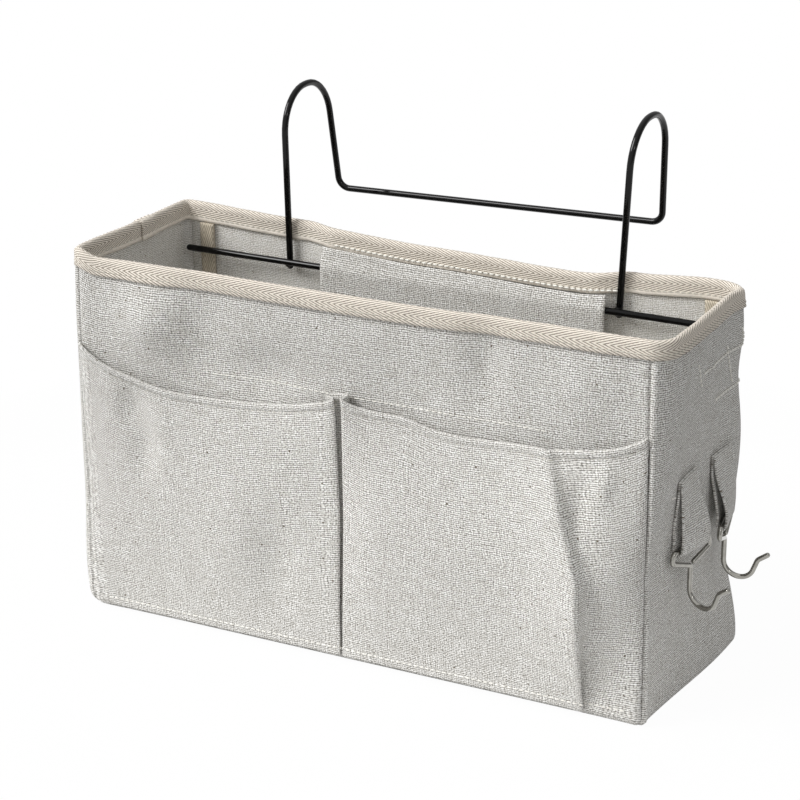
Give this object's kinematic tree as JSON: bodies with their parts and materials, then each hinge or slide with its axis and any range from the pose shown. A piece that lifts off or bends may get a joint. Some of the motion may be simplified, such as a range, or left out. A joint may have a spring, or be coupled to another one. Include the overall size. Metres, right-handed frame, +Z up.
{
  "type": "hanging rail basket organizer",
  "caption": "Soft linen basket with pleated front pockets and side hooks, hung from a rail by a folding bent wire hanger held in a cloth sleeve.",
  "frame": {"origin": "middle of the base, on the surface that the basket stands on", "axes": "+X along the basket to its hooked end, +Y from the pocket front to the back that faces the rail, +Z up"},
  "size_m": [0.3301, 0.1682, 0.2491],
  "materials": {
    "linen": "plain woven linen and cotton cloth with slubs",
    "lining": "fine plain woven cotton",
    "tape": "herringbone woven cotton tape",
    "board": "plain grey-brown board",
    "black_paint": "gloss black painted steel wire",
    "nickel": "bright nickel plated steel wire"
  },
  "bodies": {
    "basket": {"front_panel": "linen", "back_panel": "linen", "left_panel": "linen", "right_panel": "linen", "bottom_panel": "linen", "front_lining": "lining", "back_lining": "lining", "left_lining": "lining", "right_lining": "lining", "bottom_lining": "lining", "base_board": "board", "rim_binding": "tape", "corner_tape_front_left": "tape", "corner_tape_front_right": "tape", "corner_tape_back_left": "tape", "corner_tape_back_right": "tape", "rod_sleeve": "linen", "front_facing": "linen", "side_facing": "linen", "pocket_panel": "linen", "front_hook_tab": "linen", "rear_hook_tab": "linen"},
    "hanger": {"hanger_wire": "black_paint", "carrier_rod": "black_paint", "left_weld": "black_paint", "right_weld": "black_paint"},
    "front_hook": {"front_side_hook": "nickel"},
    "rear_hook": {"rear_side_hook": "nickel"}
  },
  "joints": [
    {"name": "hanger_swing", "type": "hinge", "parent": "basket", "child": "hanger", "pos_m": [0, 0.0445, 0.1607], "axis": [1, 0, 0], "range_deg": [0, 180]},
    {"name": "front_hook_swing", "type": "hinge", "parent": "basket", "child": "front_hook", "pos_m": [0.15469, -0.01623, 0.0775], "axis": [-0.2496, -0.9683, 0], "range_deg": [0, 120]},
    {"name": "rear_hook_swing", "type": "hinge", "parent": "basket", "child": "rear_hook", "pos_m": [0.15645, 0.02474, 0.0755], "axis": [0.1658, -0.9862, 0], "range_deg": [0, 120]}
  ]
}
